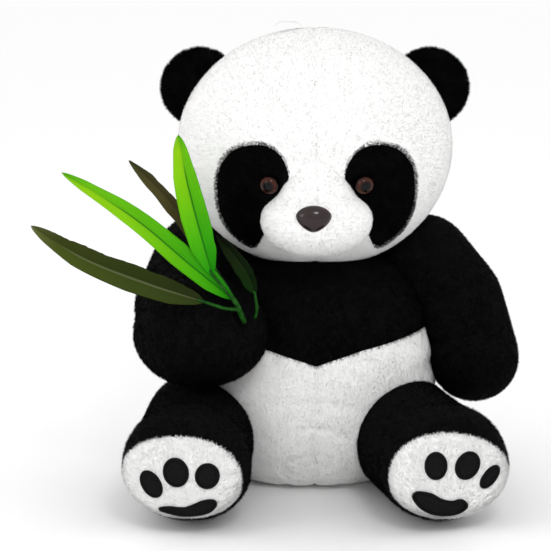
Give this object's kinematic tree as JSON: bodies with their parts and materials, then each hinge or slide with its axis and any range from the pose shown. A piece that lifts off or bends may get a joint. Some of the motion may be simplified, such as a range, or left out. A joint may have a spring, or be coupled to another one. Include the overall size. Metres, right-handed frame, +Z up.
{
  "type": "plush panda",
  "caption": "Seated stuffed toy panda, black and white plush with safety eyes and felt paw pads, holding an artificial bamboo sprig.",
  "frame": {"origin": "centre of the flat seat, on the surface that the toy sits on", "axes": "+Z up, -Y is the way the panda faces, +X is the panda's own left"},
  "size_m": [0.4151, 0.2919, 0.4031],
  "materials": {
    "white_plush": "matte",
    "black_plush": "matte",
    "fibrefill": "matte",
    "felt": "matte",
    "ribbon": "satin",
    "eye_plastic": "gloss",
    "nose_plastic": "gloss",
    "washer_plastic": "satin",
    "stem_plastic": "satin",
    "bright_leaf": "satin",
    "olive_leaf": "satin"
  },
  "bodies": {
    "torso": {"torso_stuffing": "fibrefill", "chest_panel": "black_plush", "upper_back_panel": "black_plush", "belly_panel_left": "white_plush", "belly_panel_right": "white_plush", "lower_back_panel": "white_plush", "seat_panel": "white_plush", "tail_skin": "white_plush", "tail_stuffing": "fibrefill"},
    "neck": {"neck_stuffing": "fibrefill"},
    "head": {"head_panel_left": "white_plush", "head_panel_right": "white_plush", "head_back_panel": "white_plush", "head_stuffing": "fibrefill", "eye_patch_left": "black_plush", "eye_patch_right": "black_plush", "muzzle_skin": "white_plush", "muzzle_stuffing": "fibrefill", "nose": "nose_plastic", "nose_washer": "washer_plastic", "eye_left": "eye_plastic", "eye_left_washer": "washer_plastic", "eye_right": "eye_plastic", "eye_right_washer": "washer_plastic", "hang_loop": "ribbon"},
    "ear_left": {"ear_front_left": "black_plush", "ear_back_left": "black_plush", "ear_stuffing_left": "fibrefill"},
    "ear_right": {"ear_front_right": "black_plush", "ear_back_right": "black_plush", "ear_stuffing_right": "fibrefill"},
    "arm_left": {"arm_skin_left": "black_plush", "arm_stuffing_left": "fibrefill"},
    "arm_right": {"arm_skin_right": "black_plush", "arm_stuffing_right": "fibrefill"},
    "sprig": {"bamboo_stem": "stem_plastic", "leaf_upright": "bright_leaf", "leaf_slanted": "bright_leaf", "leaf_low_olive": "olive_leaf", "leaf_back_olive": "olive_leaf", "leaf_inner": "olive_leaf"},
    "leg_left": {"leg_skin_left": "black_plush", "leg_stuffing_left": "fibrefill", "sole_left": "white_plush", "toe_pad_left_1": "felt", "toe_pad_left_2": "felt", "toe_pad_left_3": "felt", "heel_pad_left": "felt"},
    "leg_right": {"leg_skin_right": "black_plush", "leg_stuffing_right": "fibrefill", "sole_right": "white_plush", "toe_pad_right_1": "felt", "toe_pad_right_2": "felt", "toe_pad_right_3": "felt", "heel_pad_right": "felt"}
  },
  "joints": [
    {"name": "neck_turn", "type": "hinge", "parent": "torso", "child": "neck", "pos_m": [0, 0, 0.205], "axis": [0, 0, 1], "range_deg": [-20, 20], "stiffness_Nm_per_rad": 2},
    {"name": "neck_nod", "type": "hinge", "parent": "neck", "child": "head", "pos_m": [0, 0, 0.205], "axis": [1, 0, 0], "range_deg": [-6, 8], "stiffness_Nm_per_rad": 6},
    {"name": "ear_left_fold", "type": "hinge", "parent": "head", "child": "ear_left", "pos_m": [0.10156, 0.004, 0.34875], "axis": [0.454, 0, -0.891], "range_deg": [-25, 25], "stiffness_Nm_per_rad": 0.15},
    {"name": "ear_right_fold", "type": "hinge", "parent": "head", "child": "ear_right", "pos_m": [-0.10156, 0.004, 0.34875], "axis": [0.454, 0, 0.891], "range_deg": [-25, 25], "stiffness_Nm_per_rad": 0.15},
    {"name": "arm_left_spread", "type": "hinge", "parent": "torso", "child": "arm_left", "pos_m": [0.097, 0.012, 0.187], "axis": [0, -1, 0], "range_deg": [0, 45], "stiffness_Nm_per_rad": 1.5},
    {"name": "arm_right_spread", "type": "hinge", "parent": "torso", "child": "arm_right", "pos_m": [-0.097, 0.012, 0.187], "axis": [0, 1, 0], "range_deg": [0, 15], "stiffness_Nm_per_rad": 2.5},
    {"name": "sprig_sway", "type": "hinge", "parent": "arm_right", "child": "sprig", "pos_m": [-0.058, -0.094, 0.148], "axis": [0, 1, 0], "range_deg": [-6, 6], "stiffness_Nm_per_rad": 0.6},
    {"name": "leg_left_splay", "type": "hinge", "parent": "torso", "child": "leg_left", "pos_m": [0.073, -0.028, 0.05], "axis": [0, 0, 1], "range_deg": [-8, 20], "stiffness_Nm_per_rad": 2},
    {"name": "leg_right_splay", "type": "hinge", "parent": "torso", "child": "leg_right", "pos_m": [-0.099, -0.028, 0.05], "axis": [0, 0, -1], "range_deg": [-8, 20], "stiffness_Nm_per_rad": 2}
  ]
}
